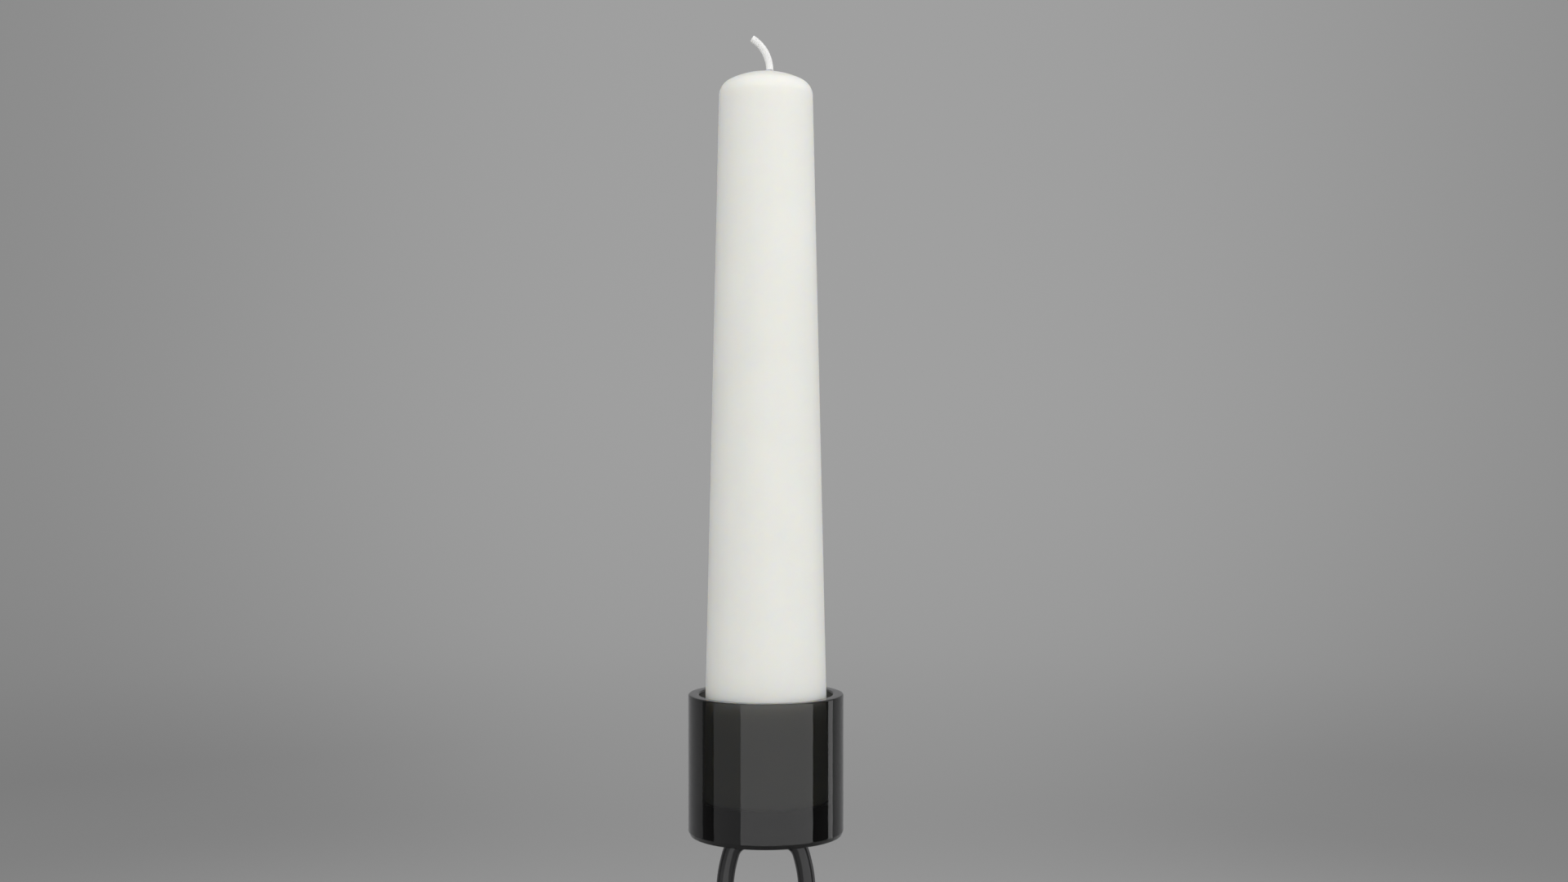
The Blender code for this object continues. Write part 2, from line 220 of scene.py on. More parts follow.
def cotton_material():
    s = Shader("cotton_wick")
    fibre = s.noise(2600.0, 4.0, 0.7, s.stretched(1.0, 1.0, 0.35))
    colour = s.mixed(
        s.ranged(fibre, 0.3, 0.7, 0.0, 1.0), (0.76, 0.757, 0.745), (0.83, 0.83, 0.82)
    )
    normal = s.bump(fibre, 0.5, 0.03 * MM)
    s.principled(
        Base_Color=colour,
        Roughness=s.ranged(fibre, 0.3, 0.7, 0.75, 0.95),
        Sheen_Weight=0.25,
        Sheen_Roughness=0.5,
        Subsurface_Weight=0.5,
        Subsurface_Radius=(1.0, 1.0, 0.95),
        Subsurface_Scale=0.5 * MM,
        Normal=normal,
    )
    return s.mat


def glass_material():
    s = Shader("smoked_glass")
    rough = s.ranged(s.noise(90.0, 4.0, 0.6), 0.45, 0.75, 0.0, 0.035)
    s.principled(
        Base_Color=(1.0, 1.0, 1.0),
        Roughness=rough,
        IOR=GLASS_IOR,
        Transmission_Weight=1.0,
    )
    absorb = s.add("ShaderNodeVolumeAbsorption")
    absorb.inputs["Color"].default_value = (0.03, 0.03, 0.0, 1.0)
    absorb.inputs["Density"].default_value = GLASS_DENSITY
    s.link(absorb.outputs["Volume"], s.out.inputs["Volume"])
    return s.mat


def enamel_material():
    s = Shader("gloss_black_enamel")
    cloud = s.noise(55.0, 4.0, 0.6)
    colour = s.mixed(
        s.ranged(cloud, 0.35, 0.65, 0.0, 1.0), (0.0195, 0.0195, 0.0205), (0.027, 0.027, 0.028)
    )
    rough = s.ranged(s.noise(300.0, 5.0, 0.65), 0.35, 0.7, 0.045, 0.11)
    peel = s.bump(s.noise(520.0, 2.0, 0.5), 0.12, 0.02 * MM)
    s.principled(
        Base_Color=colour,
        Roughness=rough,
        IOR=1.44,
        Normal=peel,
    )
    return s.mat


def steel_material():
    s = Shader("stainless_steel")
    turned = s.add("ShaderNodeTexWave", wave_type="RINGS", rings_direction="Z")
    turned.inputs["Scale"].default_value = 700.0
    turned.inputs["Distortion"].default_value = 0.6
    turned.inputs["Detail"].default_value = 2.0
    s.link(s.coord.outputs["Object"], turned.inputs["Vector"])
    grain = s.noise(1500.0, 3.0, 0.6)
    s.principled(
        Base_Color=s.mixed(grain, (0.52, 0.51, 0.49), (0.68, 0.67, 0.65)),
        Metallic=1.0,
        Roughness=s.ranged(grain, 0.3, 0.7, 0.22, 0.36),
        Normal=s.bump(turned.outputs["Fac"], 0.2, 0.01 * MM),
    )
    return s.mat


def silicone_material():
    s = Shader("silicone")
    haze = s.noise(400.0, 3.0, 0.6)
    s.principled(
        Base_Color=s.mixed(haze, (0.40, 0.40, 0.38), (0.52, 0.52, 0.50)),
        Roughness=s.ranged(haze, 0.3, 0.7, 0.4, 0.6),
        Subsurface_Weight=0.6,
        Subsurface_Radius=(1.0, 1.0, 0.9),
        Subsurface_Scale=0.6 * MM,
        Normal=s.bump(haze, 0.2, 0.02 * MM),
    )
    return s.mat


def felt_material():
    s = Shader("dark_felt")
    wool = s.noise(1800.0, 6.0, 0.75, distortion=1.2)
    s.principled(
        Base_Color=s.mixed(
            s.ranged(wool, 0.35, 0.65, 0.0, 1.0), (0.020, 0.020, 0.022), (0.065, 0.064, 0.064)
        ),
        Roughness=0.95,
        Sheen_Weight=0.6,
        Sheen_Roughness=0.6,
        Normal=s.bump(wool, 0.9, 0.15 * MM),
    )
    return s.mat


# ---- mesh helpers ----------------------------------------------------------------------------------------------------
def rounded(corners, steps=8):
    """The (r, z) outline with each corner (r, z, radius) turned into an arc."""
    out = []
    count = len(corners)
    for i, (r, z, radius) in enumerate(corners):
        here = Vector((r, z))
        if radius <= 0:
            out.append(here)
            continue
        back = (Vector(corners[i - 1][:2]) - here).normalized()
        ahead = (Vector(corners[(i + 1) % count][:2]) - here).normalized()
        half = back.angle(ahead) / 2
        reach = radius / math.tan(half)
        centre = here + (back + ahead).normalized() * (radius / math.sin(half))
        start, end = here + back * reach - centre, here + ahead * reach - centre
        turn = start.angle_signed(end)
        for k in range(steps + 1):
            a = -turn * k / steps
            out.append(
                centre
                + Vector(
                    (
                        start.x * math.cos(a) - start.y * math.sin(a),
                        start.x * math.sin(a) + start.y * math.cos(a),
                    )
                )
            )
    return [(p.x, p.y) for p in out]


def subdivided(outline, longest, closed):
    """Breaks long runs of the outline, so that shading and scattering have points to work with."""
    out = []
    pairs = list(zip(outline, outline[1:] + outline[:1] if closed else outline[1:]))
    for (r0, z0), (r1, z1) in pairs:
        n = max(1, math.ceil(math.hypot(r1 - r0, z1 - z0) / longest))
        out += [(r0 + (r1 - r0) * k / n, z0 + (z1 - z0) * k / n) for k in range(n)]
    if not closed:
        out.append(outline[-1])
    return out


def new_piece(name, points, faces, mat, sharp=35, smooth=True):
    mesh = bpy.data.meshes.new(name)
    mesh.from_pydata([tuple(p) for p in points], [], faces)
    mesh.validate()
    bm = bmesh.new()
    bm.from_mesh(mesh)
    bmesh.ops.remove_doubles(bm, verts=bm.verts, dist=1e-8)
    bmesh.ops.recalc_face_normals(bm, faces=bm.faces)
    if bm.calc_volume(signed=True) < 0:
        bmesh.ops.reverse_faces(bm, faces=bm.faces)
    bm.to_mesh(mesh)
    bm.free()
    if smooth:
        mesh.shade_smooth()
        mesh.set_sharp_from_angle(angle=math.radians(sharp))
    obj = bpy.data.objects.new(name, mesh)
    scene.collection.objects.link(obj)
    if mat:
        mesh.materials.append(mat)
    return obj


def lathe(name, outline, steps, mat, closed=False, at=(0, 0), sharp=35, radius_at=None):
    """Turns an (r, z) outline about the vertical through at. radius_at(r, z, angle) may change a radius."""
    points, rings, faces = [], [], []
    for r, z in outline:
        if r < 1e-9:
            rings.append([len(points)])
            points.append((at[0], at[1], z))
            continue
        ring = []
        for k in range(steps):
            a = 2 * math.pi * k / steps
            rr = radius_at(r, z, a) if radius_at else r
            ring.append(len(points))
            points.append((at[0] + rr * math.cos(a), at[1] + rr * math.sin(a), z))
        rings.append(ring)
    pairs = list(zip(rings, rings[1:]))
    if closed:
        pairs.append((rings[-1], rings[0]))
    for a, b in pairs:
        for k in range(steps):
            n = (k + 1) % steps
            if len(a) == 1 and len(b) == 1:
                continue
            if len(a) == 1:
                faces.append((a[0], b[k], b[n]))
            elif len(b) == 1:
                faces.append((a[k], b[0], a[n]))
            else:
                faces.append((a[k], b[k], b[n], a[n]))
    return new_piece(name, points, faces, mat, sharp)


def sweep(name, path, sides, mat, radius_at, sharp=50):
    """A round bar along a path in a plane of constant Y. radius_at(distance along, angle) gives its surface."""
    across_y = Vector((0, 1, 0))
    points, faces, along, s = [], [], [], 0.0
    for i, p in enumerate(path):
        s += (p - path[i - 1]).length if i else 0.0
        t = (path[min(i + 1, len(path) - 1)] - path[max(i - 1, 0)]).normalized()
        side = across_y.cross(t).normalized()
        for k in range(sides):
            a = 2 * math.pi * k / sides
            r = radius_at(s, a)
            points.append(p + r * (side * math.cos(a) + across_y * math.sin(a)))
        along.append(s)
    for i in range(len(path) - 1):
        for k in range(sides):
            n = (k + 1) % sides
            faces.append(
                (i * sides + k, i * sides + n, (i + 1) * sides + n, (i + 1) * sides + k)
            )
    faces.append(tuple(reversed(range(sides))))
    last = (len(path) - 1) * sides
    faces.append(tuple(range(last, last + sides)))
    return new_piece(name, points, faces, mat, sharp)


def cut(obj, *cutters, sharp=35):
    """Takes the cutters away from obj for good, and removes them."""
    for c in cutters:
        mod = obj.modifiers.new("cut", "BOOLEAN")
        mod.operation, mod.solver, mod.object = "DIFFERENCE", "EXACT", c
    graph = bpy.context.evaluated_depsgraph_get()
    mesh = bpy.data.meshes.new_from_object(obj.evaluated_get(graph))
    obj.modifiers.clear()
    bm = bmesh.new()
    bm.from_mesh(mesh)
    bmesh.ops.dissolve_degenerate(bm, edges=bm.edges, dist=0.002 * MM)
    bm.to_mesh(mesh)
    bm.free()
    obj.data = mesh
    for c in cutters:
        bpy.data.objects.remove(c, do_unlink=True)
    mesh.shade_smooth()
    mesh.set_sharp_from_angle(angle=math.radians(sharp))
    return obj


def place(obj, body, nodes):
    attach(obj, body)
    if nodes:
        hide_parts(*nodes)
    return obj


# ---- candle ----------------------------------------------------------------------------------------------------------
WAX_DARK = (0.80, 0.802, 0.762)
WAX_LIGHT = (0.845, 0.848, 0.812)
WAX_SCATTER = 6.0 * MM
GLASS_IOR = 1.5
GLASS_DENSITY = 474.0


def candle_outline():
    slope = math.hypot(1, CANDLE_TAPER)
    out_r, out_z = 1 / slope, CANDLE_TAPER / slope
    cap_centre = CANDLE_HEIGHT - CANDLE_CAP_RADIUS

    def shoulder_centre(z):
        r = CANDLE_BASE_RADIUS - CANDLE_TAPER * z
        return r - CANDLE_SHOULDER * out_r, z - CANDLE_SHOULDER * out_z

    low, high = CANDLE_HEIGHT - 30 * MM, CANDLE_HEIGHT
    for _ in range(60):
        mid = (low + high) / 2
        r, z = shoulder_centre(mid)
        inside = math.hypot(r, z - cap_centre) < CANDLE_CAP_RADIUS - CANDLE_SHOULDER
        low, high = (mid, high) if inside else (low, mid)
    r0, z0 = shoulder_centre(low)
    first, last = math.atan2(out_z, out_r), math.atan2(z0 - cap_centre, r0)
    outline = rounded(
        [
            (0, 0, 0),
            (CANDLE_BASE_RADIUS, 0, 1.4 * MM),
            (CANDLE_BASE_RADIUS - CANDLE_TAPER * low, low, 0),
        ],
        8,
    )
    for k in range(1, 17):
        a = first + (last - first) * k / 16
        outline.append(
            (r0 + CANDLE_SHOULDER * math.cos(a), z0 + CANDLE_SHOULDER * math.sin(a))
        )
    for k in range(1, 17):
        a = last + (math.pi / 2 - last) * k / 16
        outline.append(
            (
                CANDLE_CAP_RADIUS * math.cos(a) if k < 16 else 0.0,
                cap_centre + CANDLE_CAP_RADIUS * math.sin(a),
            )
        )
    return [(r, CANDLE_FOOT + z) for r, z in subdivided(outline, 3.0 * MM, False)]


def wick_path(spacing, inside=True):
    foot = Vector((WICK_FOOT_OFFSET, 0, CANDLE_FOOT))
    top = Vector((WICK_TOP_OFFSET, 0, CANDLE_TOP + 0.6 * MM))
    lean = (top - foot).normalized()
    path = []
    if inside:
        n = 12
        path += [foot + (top - foot) * k / n + lean * 0.5 * MM * (k == 0) for k in range(n - 1)]
    low = top - lean * 6 * MM
    n = max(2, round(6 * MM / spacing))
    path += [low + (top - low) * k / n for k in range(n + 1)]
    start = math.atan2(lean.x, lean.z)
    centre = top - WICK_CURL_RADIUS * Vector((math.cos(start), 0, -math.sin(start)))
    n = round(WICK_CURL_RADIUS * WICK_CURL_ANGLE / spacing)
    for k in range(1, n + 1):
        a = WICK_CURL_ANGLE * k / n - start
        path.append(centre + WICK_CURL_RADIUS * Vector((math.cos(a), 0, math.sin(a))))
    return path, top, lean


def braid(s, a):
    """Surface of a plaited cotton cord: two families of strands, passing over and under each other."""
    pitch = 7.0 * MM
    one, two = 4 * a + 8 * math.pi * s / pitch, 4 * a - 8 * math.pi * s / pitch
    c1, c2 = math.cos(one), math.cos(two)
    over = math.tanh(4 * c1 * c2)
    height = max(abs(c1) * (1 + 0.25 * over), abs(c2) * (1 - 0.25 * over))
    return WICK_RADIUS * (0.90 + 0.10 * min(1.0, height) ** 0.8)


def wax_body(wax):
    """Wax round its wick hole. Rings are centred on the candle outside, and drift to the wick's centre near it."""
    steps, hole, drift = 160, WICK_RADIUS * 0.93, 6.0 * MM
    cap_centre = CANDLE_TOP - CANDLE_CAP_RADIUS
    rings = []

    def ring(centre, r, height):
        row = []
        for k in range(steps):
            a = 2 * math.pi * k / steps
            x, y = centre + r * math.cos(a), r * math.sin(a)
            row.append((x, y, height(x, y)))
        rings.append(row)

    def eased(r):
        u = 1 - (r - hole) / (drift - hole)
        return u * u * (3 - 2 * u)

    def dome(x, y):
        # wax drawn up round the wick where the candle was pulled from its mould
        d = max(0.0, math.hypot(x - WICK_TOP_OFFSET, y) - WICK_RADIUS)
        z = cap_centre + math.sqrt(CANDLE_CAP_RADIUS**2 - x * x - y * y)
        return z + 0.75 * MM * math.exp(-d / (0.9 * MM))

    for k in range(5):
        r = hole + (drift - hole) * k / 5
        ring(WICK_FOOT_OFFSET * eased(r), r, lambda x, y: CANDLE_FOOT)
    for r, z in candle_outline():
        if r >= drift:
            ring(0.0, r, lambda x, y, z=z: z)
    for k in range(25):
        r = hole + (drift - hole) * (1 - k / 24) ** 1.7
        ring(WICK_TOP_OFFSET * eased(r), r, dome)
    mouth = rings[-1]
    for k in range(1, 16):
        t = k / 16
        shift = (WICK_FOOT_OFFSET - WICK_TOP_OFFSET) * t
        rings.append([(x + shift, y, z + (CANDLE_FOOT - z) * t) for x, y, z in mouth])

    faces = []
    for i in range(len(rings)):
        j = (i + 1) % len(rings)
        for k in range(steps):
            n = (k + 1) % steps
            faces.append((i * steps + k, i * steps + n, j * steps + n, j * steps + k))
    return new_piece("wax_body", [p for row in rings for p in row], faces, wax, 60)


def make_candle(wax, cotton):
    place(wax_body(wax), "candle", ["candle_wax"])
    path, _, _ = wick_path(0.14 * MM)
    wick = sweep("plaited_wick", path, 56, cotton, braid, sharp=70)
    place(wick, "candle", ["candle_wick"])


# ---- cup -------------------------------------------------------------------------------------------------------------
def make_cup(glass):
    outline = rounded(
        [
            (GLASS_HOLE_RADIUS, CUP_UNDER + RECESS_DEPTH, 0),
            (RECESS_RADIUS, CUP_UNDER + RECESS_DEPTH, 0.3 * MM),
            (RECESS_RADIUS, CUP_UNDER, 0.3 * MM),
            (CUP_RADIUS - HEEL_INSET, CUP_UNDER, 0.35 * MM),
            (CUP_RADIUS, CUP_UNDER + HEEL_HEIGHT, 0.5 * MM),
            (CUP_RADIUS, CUP_TOP, RIM_ROUND),
            (CUP_BORE, CUP_TOP, RIM_ROUND),
            (CUP_BORE, CUP_FLOOR_TOP, 1.0 * MM),
            (COUNTERBORE_RADIUS, CUP_FLOOR_TOP, 0.3 * MM),
            (COUNTERBORE_RADIUS, CUP_FLOOR_TOP - COUNTERBORE_DEPTH, 0.3 * MM),
            (GLASS_HOLE_RADIUS, CUP_FLOOR_TOP - COUNTERBORE_DEPTH, 0),
        ],
        8,
    )
    cup = lathe(
        "smoked_cup", subdivided(outline, 4.0 * MM, True), 256, glass, closed=True, sharp=60
    )
    place(cup, "stand", ["glass_cup"])


# ---- arch, boss, base ------------------------------------------------------------------------------------------------
def arch_path():
    right = [Vector((ARCH_FLAT_HALF * k / 4, 0, ARCH_TOP)) for k in range(1, 4)]
    shoulder = Vector((ARCH_FLAT_HALF, 0, ARCH_TOP - BEND_TIGHT))
    turn = math.pi / 2 - EASE_ANGLE
    for k in range(29):
        a = turn * k / 28
        right.append(shoulder + BEND_TIGHT * Vector((math.sin(a), 0, math.cos(a))))
    ease = right[-1] - BEND_WIDE * Vector((math.sin(turn), 0, math.cos(turn)))
    for k in range(1, 29):
        a = turn + EASE_ANGLE * k / 28
        right.append(ease + BEND_WIDE * Vector((math.sin(a), 0, math.cos(a))))
    z0 = right[-1].z
    for k in range(1, 25):
        right.append(Vector((LEG_X, 0, z0 + (LEG_FOOT - z0) * k / 24)))
    left = [Vector((-p.x, 0, p.z)) for p in reversed(right)]
    return left + [Vector((0, 0, ARCH_TOP))] + right


def peg(name, r, low, high, x=0.0, steps=40):
    return lathe(name, [(0, low), (r, low), (r, high), (0, high)], steps, None, at=(x, 0))


def make_arch(enamel):
    arch = sweep("bent_rod", arch_path(), 64, enamel, lambda s, a: ROD_RADIUS)
    cut(
        arch,
        peg("a", 1.8 * MM, LEG_FOOT - MM, 12.4 * MM, -LEG_X),
        peg("b", 1.8 * MM, LEG_FOOT - MM, 12.4 * MM, LEG_X),
        peg("c", 1.8 * MM, 96.0 * MM, ARCH_TOP + 6 * MM),
        sharp=50,
    )
    place(arch, "stand", ["arch_rod"])

    outline = rounded(
        [
            (1.8 * MM, boss_lo.z, 0),
            (BOSS_RADIUS, boss_lo.z, 0.8 * MM),
            (BOSS_RADIUS, boss_hi.z, 0.4 * MM),
            (1.8 * MM, boss_hi.z, 0),
        ],
        8,
    )
    boss = lathe("saddle_boss", subdivided(outline, 1.5 * MM, True), 128, enamel, closed=True)
    groove = lathe(
        "g",
        [(0, -15 * MM), (ROD_RADIUS + 0.12 * MM, -15 * MM), (ROD_RADIUS + 0.12 * MM, 15 * MM), (0, 15 * MM)],
        96,
        None,
    )
    groove.rotation_euler = (0, math.pi / 2, 0)
    groove.location = (0, 0, ARCH_TOP)
    bpy.context.view_layer.update()
    cut(boss, groove)
    place(boss, "stand", ["arch_boss"])

    # fillet welds along both sides of the rod, under the enamel
    for side, sign in (("front", -1), ("back", 1)):
        points, faces, n, m = [], [], 61, 16
        length = 2 * 5.2 * MM
        for i in range(n):
            u = i / (n - 1)
            x = (u - 0.5) * length
            end = math.sqrt(max(0.0, 1 - (2 * u - 1) ** 8))
            r = (0.62 + 0.06 * math.sin(u * 60) + 0.03 * math.sin(u * 151)) * MM * max(end, 0.05)
            c = Vector((x, sign * (ROD_RADIUS + 0.25 * MM), boss_lo.z + 0.05 * MM))
            for k in range(m):
                a = 2 * math.pi * k / m
                points.append(c + Vector((0, r * math.cos(a), r * math.sin(a))))
        for i in range(n - 1):
            for k in range(m):
                q = (k + 1) % m
                faces.append((i * m + k, i * m + q, (i + 1) * m + q, (i + 1) * m + k))
        faces.append(tuple(range(m)))
        faces.append(tuple(range((n - 1) * m, n * m)))
        place(new_piece(f"weld_{side}", points, faces, enamel, 60), "stand", [])


def make_base(enamel):
    outline = rounded(
        [
            (0, BASE_BOTTOM, 0),
            (BASE_RADIUS, BASE_BOTTOM, 0.6 * MM),
            (BASE_RADIUS, BASE_TOP, 1.6 * MM),
            (0, BASE_TOP, 0),
        ],
        12,
    )
    base = lathe("round_base", subdivided(outline, 5.0 * MM, False), 256, enamel)
    cutters = []
    for sign in (-1, 1):
        for name, profile in (
            (
                "head",
                [
                    (0, BASE_BOTTOM - MM),
                    (3.3 * MM, BASE_BOTTOM - MM),
                    (3.3 * MM, BASE_BOTTOM + 0.5 * MM),
                    (1.8 * MM, BASE_BOTTOM + 2.0 * MM),
                    (1.8 * MM, BASE_TOP - 2 * MM),
                    (3.3 * MM, BASE_TOP - 2 * MM),
                    (3.2 * MM, BASE_TOP - 0.25 * MM),
                    (3.75 * MM, BASE_TOP + 0.3 * MM),
                    (3.75 * MM, BASE_TOP + MM),
                    (0, BASE_TOP + MM),
                ],
            ),
        ):
            cutters.append(lathe(name, profile, 64, None, at=(sign * LEG_X, 0)))
    cut(base, *cutters)
    place(base, "stand", ["base_plate"])


# ---- fasteners, seals, pads ------------------------------------------------------------------------------------------
def hexagon(name, x, low, high):
    bm = bmesh.new()
    bmesh.ops.create_cone(
        bm,
        cap_ends=True,
        segments=6,
        radius1=2.0 * MM / math.sqrt(3),
        radius2=2.0 * MM / math.sqrt(3),
        depth=high - low,
        matrix=Matrix.Translation((x, 0, (low + high) / 2)),
    )
    mesh = bpy.data.meshes.new(name)
    bm.to_mesh(mesh)
    bm.free()
    obj = bpy.data.objects.new(name, mesh)
    scene.collection.objects.link(obj)
    return obj


def threaded(low, high, pitch=0.5 * MM, depth=0.28 * MM):
    """Radius of a right-hand M3 thread between two heights, and plain outside them."""

    def radius(r, z, a):
        if not low < z < high or r < 1.2 * MM or r > 1.55 * MM:
            return r
        phase = (z / pitch - a / (2 * math.pi)) % 1.0
        fade = min(1.0, (z - low) / pitch, (high - z) / pitch)
        return r - depth * fade * abs(2 * phase - 1)

    return radius


def make_fasteners(steel, silicone):
    lo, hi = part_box("cup_screw")
    head = hi.z - 2.2 * MM
    outline = rounded(
        [
            (0, lo.z, 0),
            (1.5 * MM, lo.z, 0.3 * MM),
            (1.5 * MM, head, 0),
            (2.9 * MM, head, 0.15 * MM),
            (2.9 * MM, hi.z, 0.7 * MM),
            (0, hi.z, 0),
        ],
        6,
    )
    screw = lathe(
        "cup_screw_m3",
        subdivided(outline, 0.0833 * MM * 1.5, False),
        48,
        steel,
        sharp=40,
        radius_at=threaded(lo.z + 0.3 * MM, head - 0.6 * MM),
    )
    cut(screw, hexagon("k", 0.0, hi.z - 1.2 * MM, hi.z + 1.2 * MM), sharp=40)
    place(screw, "stand", ["cup_screw"])

    for side, sign in (("left", -1), ("right", 1)):
        lo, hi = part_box(f"base_screw_{side}")
        outline = [
            (0, lo.z),
            (2.9 * MM, lo.z),
            (3.0 * MM, lo.z + 0.1 * MM),
            (3.0 * MM, lo.z + 0.2 * MM),
            (1.5 * MM, lo.z + 1.7 * MM),
            (1.5 * MM, hi.z - 0.3 * MM),
            (1.2 * MM, hi.z),
            (0, hi.z),
        ]
        screw = lathe(
            f"base_screw_m3_{side}",
            subdivided(outline, 0.0833 * MM * 1.5, False),
            48,
            steel,
            at=(sign * LEG_X, 0),
            sharp=40,
            radius_at=threaded(lo.z + 2.2 * MM, hi.z - 0.3 * MM),
        )
        cut(screw, hexagon("k", sign * LEG_X, lo.z - 1.2 * MM, lo.z + 1.2 * MM), sharp=40)
        place(screw, "stand", [f"base_screw_{side}"])

    for node, name, mat, slot, soft in (
        ("cup_washer", "flat_washer", steel, "fastener_steel", 0.12 * MM),
        ("cup_gasket_upper", "upper_seal", silicone, "gasket", 0.3 * MM),
        ("cup_gasket_lower", "lower_seal", silicone, "gasket", 0.3 * MM),
    ):
        lo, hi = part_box(node)
        outline = rounded(
            [
                (1.8 * MM, lo.z, soft),
                (hi.x, lo.z, soft),
                (hi.x, hi.z, soft),
                (1.8 * MM, hi.z, soft),
            ],
            6,
        )
        ring = lathe(name, subdivided(outline, 1.0 * MM, True), 96, mat, closed=True, sharp=50)
        place(ring, "stand", [node])


def make_pads(felt):
    for place_name in ("front_left", "front_right", "back_left", "back_right"):
        node = f"foot_pad_{place_name}"
        lo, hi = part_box(node)
        cx, cy = (lo.x + hi.x) / 2, (lo.y + hi.y) / 2
        outline = rounded(
            [
                (0, lo.z, 0),
                (PAD_RADIUS, lo.z, 0.35 * MM),
                (PAD_RADIUS - 0.05 * MM, BASE_BOTTOM - 0.02 * MM, 0.1 * MM),
                (0, BASE_BOTTOM - 0.02 * MM, 0),
            ],
            5,
        )

        def fuzzy(r, z, a, cx=cx, cy=cy):
            wobble = math.sin(17 * a + 900 * z + 40 * cx) + math.sin(31 * a - 1500 * z + 70 * cy)
            return r * (1 + 0.004 * wobble) if r > PAD_RADIUS * 0.9 else r

        pad = lathe(
            f"felt_pad_{place_name}",
            subdivided(outline, 0.5 * MM, False),
            96,
            felt,
            at=(cx, cy),
            sharp=60,
            radius_at=fuzzy,
        )
        place(pad, "stand", [node])


# ---- stage -----------------------------------------------------------------------------------------------------------
def backdrop_radiance_at(x, y, z):
    """Radiance of the seamless backdrop: brightest behind the object, falling away to the sides and to the floor."""
    az = math.degrees(math.atan2(x, y)) if math.hypot(x, y) > 0.2 else 0.0
    spread = (0.31 if az < 0 else 0.272) * (1 - math.exp(-(abs(az - 2.0) / 27.0) ** 3))
    r = math.hypot(x, y)
    s = min(r, 2.0) + max(0.0, z)
    rise = min(1.0, max(0.0, (s - 0.3) / 2.0))
    level = 0.262 + 0.090 * (1 - (1 - rise) ** 1.4)
    return level * (1 - spread * min(1.0, r / 0.8))


def make_stage():
    radius, bend, top = 2.2, 0.9, 3.2
    outline = [(0.0, 0.0)]
    n = 60
    outline += [((radius - bend) * (k / n) ** 1.3, 0.0) for k in range(1, n + 1)]
    for k in range(1, 25):
        a = math.pi / 2 * k / 24
        outline.append((radius - bend + bend * math.sin(a), bend - bend * math.cos(a)))
    for k in range(1, 13):
        outline.append((radius, bend + (top - bend) * k / 12))
    points, faces, rings = [], [], []
    steps = 180
    for r, z in outline:
        if r == 0:
            rings.append([0] * steps)
            points.append((0, 0, 0))
            continue
        rings.append(list(range(len(points), len(points) + steps)))
        for k in range(steps):
            a = 2 * math.pi * k / steps
            points.append((r * math.cos(a), r * math.sin(a), z))
    for a, b in zip(rings, rings[1:]):
        for k in range(steps):
            q = (k + 1) % steps
            faces.append((a[0], b[k], b[q]) if a[0] == a[1] else (a[k], b[k], b[q], a[q]))
    for name, near in (("stage_floor", True), ("stage_backdrop", False)):
        limit = FLOOR_GLOSSY_RADIUS
        kept = [
            f
            for f in faces
            if (max(math.hypot(*points[i][:2]) for i in f) <= limit + 1e-6) == near
        ]
        used = sorted({i for f in kept for i in f})
        index = {v: k for k, v in enumerate(used)}
        mesh = bpy.data.meshes.new(name)
        mesh.from_pydata([points[i] for i in used], [], [tuple(index[i] for i in f) for f in kept])
        # painted light: each vertex gets a painted radiance, lighter behind the object and darker towards the sides and
        # low down, kept in the tone attribute, plus a mask that hands the backdrop over from matt floor to glow
        painted_radiances, glows = [], []
        for i in used:
            x, y, z = points[i]
            painted_radiances.append(backdrop_radiance_at(x, y, z))
            g = min(1.0, max(0.0, (math.hypot(x, y) - 0.22) / 0.38))
            glows.append(g * g * (3 - 2 * g))
        mesh.attributes.new("tone", "FLOAT", "POINT").data.foreach_set("value", painted_radiances)
        mesh.attributes.new("glow", "FLOAT", "POINT").data.foreach_set("value", glows)
        mesh.shade_smooth()
        obj = bpy.data.objects.new(name, mesh)
        scene.collection.objects.link(obj)
        s = Shader(name)
        # the backdrop glows with the painted radiance from the tone attribute: painted light, mixed in from the matt
        # floor near the object
        light = s.add("ShaderNodeEmission")
        a1 = s.add("ShaderNodeAttribute", attribute_name="tone")
        a2 = s.add("ShaderNodeAttribute", attribute_name="glow")
        light.inputs["Color"].default_value = (1.0, 1.0, 1.0, 1.0)
        s.link(a1.outputs["Fac"], light.inputs["Strength"])
        matt_or_glow = s.add("ShaderNodeBsdfDiffuse")
        matt_or_glow.inputs["Color"].default_value = (FLOOR_ALBEDO,) * 3 + (1.0,)
        both = s.add("ShaderNodeMixShader")
        s.link(a2.outputs["Fac"], both.inputs["Fac"])
        s.link(matt_or_glow.outputs["BSDF"], both.inputs[1])
        s.link(light.outputs["Emission"], both.inputs[2])
        s.link(both.outputs["Shader"], s.out.inputs["Surface"])
        mesh.materials.append(s.mat)
        obj.location.z = -0.1 * MM
        obj.visible_glossy = near


def direction(azimuth):
    """Unit vector at an azimuth measured from the side the camera is on, towards +X."""
    a = math.radians(azimuth)
    return Vector((math.sin(a), -math.cos(a), 0.0))


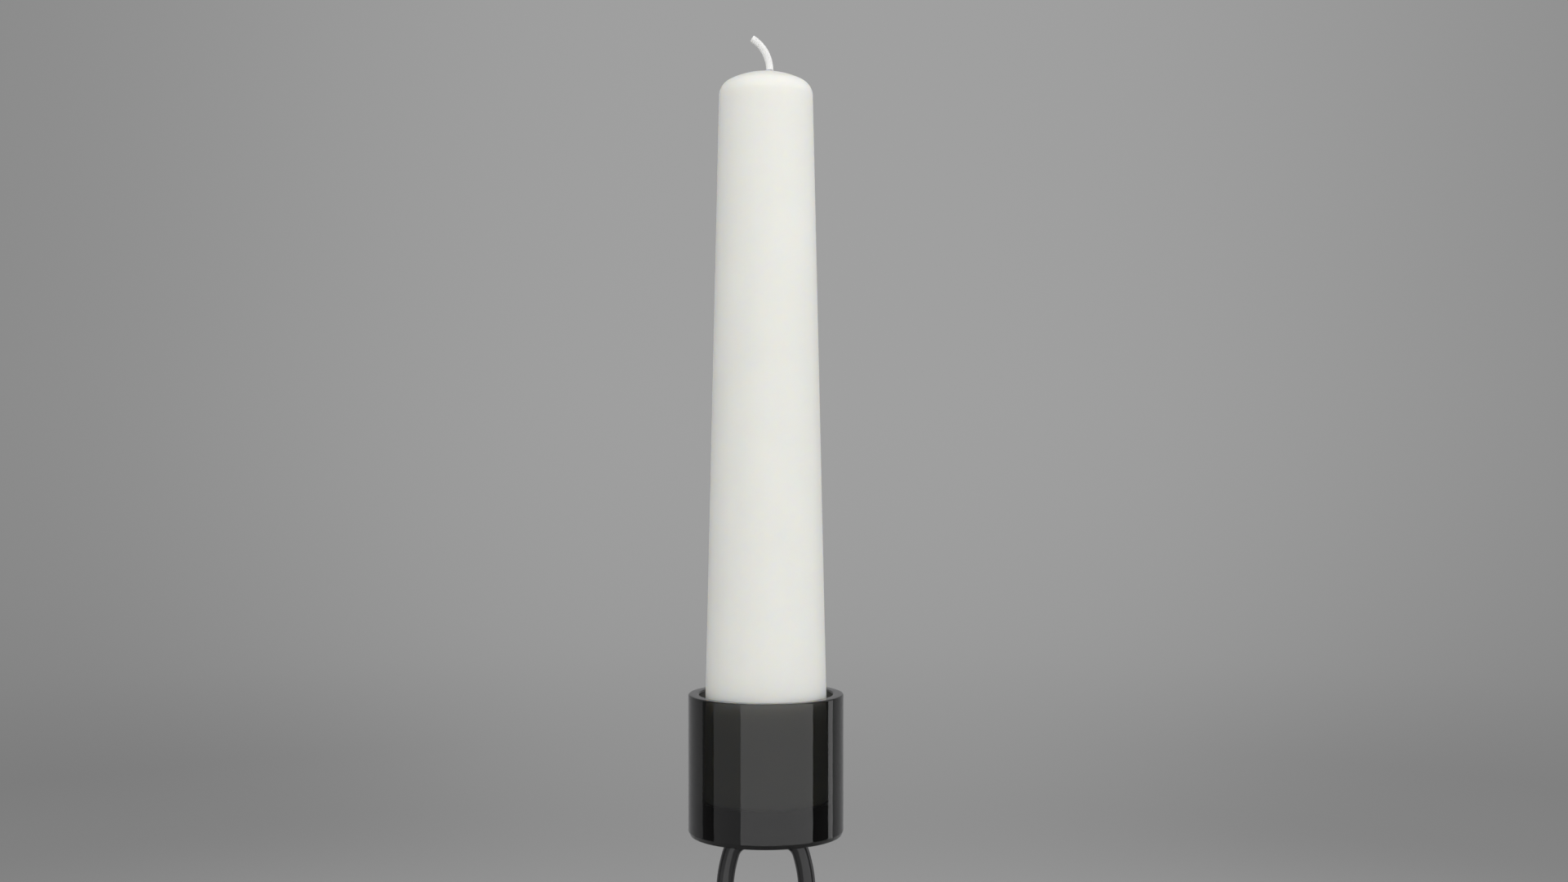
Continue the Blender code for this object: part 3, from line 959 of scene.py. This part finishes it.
def panel(name, az0, az1, radiance, low, high, distance=1.15):
    """An upright soft light between two azimuths."""
    a, b = direction(az0) * distance, direction(az1) * distance
    middle = (a + b) / 2
    width, height = (b - a).length, high - low
    data = bpy.data.lights.new(name, "AREA")
    data.shape, data.size, data.size_y = "RECTANGLE", width, height
    data.energy = radiance * width * height * math.pi
    data.spread = math.pi
    obj = bpy.data.objects.new(name, data)
    scene.collection.objects.link(obj)
    obj.location = (middle.x, middle.y, (low + high) / 2)
    inward = -middle.normalized()
    obj.rotation_mode = "QUATERNION"
    obj.rotation_quaternion = inward.to_track_quat("-Z", "Y")
    obj.visible_camera = False
    return obj


def soft(name, az0, az1, radiance, low, high):
    """A panel that adds to matt surfaces only."""
    panel(name, az0, az1, radiance, low, high, 1.18).visible_glossy = False


def flag(name, az0, az1, low, high, distance=1.2):
    """A dark board that only reflections see: it glows a dim fixed grey, a painted dark reflection."""
    a, b = direction(az0) * distance, direction(az1) * distance
    mesh = bpy.data.meshes.new(name)
    mesh.from_pydata(
        [(a.x, a.y, low), (b.x, b.y, low), (b.x, b.y, high), (a.x, a.y, high)], [], [(0, 1, 2, 3)]
    )
    obj = bpy.data.objects.new(name, mesh)
    scene.collection.objects.link(obj)
    s = Shader(name)
    # painted dark reflection: a dim emission of fixed grey, not a black surface
    matt_or_glow = s.add("ShaderNodeEmission")
    matt_or_glow.inputs["Color"].default_value = (0.09, 0.09, 0.09, 1)
    s.link(matt_or_glow.outputs["Emission"], s.out.inputs["Surface"])
    mesh.materials.append(s.mat)
    obj.visible_camera = obj.visible_diffuse = obj.visible_shadow = False
    obj.visible_transmission = False
    return obj


FLOOR_GLOSSY_RADIUS = 0.26
FLOOR_ALBEDO = 0.44


def make_lights():
    low, high = -0.6, 1.9
    panel("key_left", -36.2, 0, 1.02, low, high)
    panel("key_middle", 0, 36, 1.02, low, high)
    panel("key_right", 36, 72.7, 1.02, low, high)
    panel("fill_left", -81.1, -36.2, 0.15, low, high)
    panel("edge_right", 104.0, 115.4, 0.82, low, high)
    flag("flag_left", -105.1, -81.1, -0.8, 2.2)
    flag("flag_right", 72.7, 104.0, -0.8, 2.2)
    soft("soft_left", -105, -40, 0.62, 0.0, 1.3)
    soft("soft_front_left", -40, 20, 0.28, 0.0, 1.3)
    soft("soft_front_right", 20, 73, 0.25, 0.0, 1.3)
    soft("soft_right", 73, 118, 0.70, 0.0, 1.3)
    top = bpy.data.lights.new("top_soft", "AREA")
    top.shape, top.size, top.size_y = "RECTANGLE", 1.8, 1.8
    top.energy = 0.5 * 1.8 * 1.8 * math.pi
    obj = bpy.data.objects.new("top_soft", top)
    scene.collection.objects.link(obj)
    obj.location = (0.1, 0.0, 2.2)
    obj.visible_camera = False
    world = bpy.data.worlds.new("studio")
    scene.world = world
    world.use_nodes = True
    back = world.node_tree.nodes["Background"]
    back.inputs["Color"].default_value = (0.33, 0.33, 0.335, 1)
    back.inputs["Strength"].default_value = 1.0


def make_camera():
    data = bpy.data.cameras.new("camera")
    data.sensor_width = 36.0
    data.lens = 40.96
    data.clip_start, data.clip_end = 0.01, 20.0
    cam = bpy.data.objects.new("camera", data)
    scene.collection.objects.link(cam)
    cam.location = (6.22 * MM, -614.28 * MM, CANDLE_FOOT + 123.04 * MM)
    cam.rotation_euler = (math.pi / 2, 0, 0)
    scene.camera = cam
    scene.view_settings.view_transform = "Standard"


def main():
    enamel = enamel_material()
    make_candle(wax_material(), cotton_material())
    make_cup(glass_material())
    make_arch(enamel)
    make_base(enamel)
    make_fasteners(steel_material(), silicone_material())
    make_pads(felt_material())
    make_stage()
    make_lights()
    make_camera()


main()
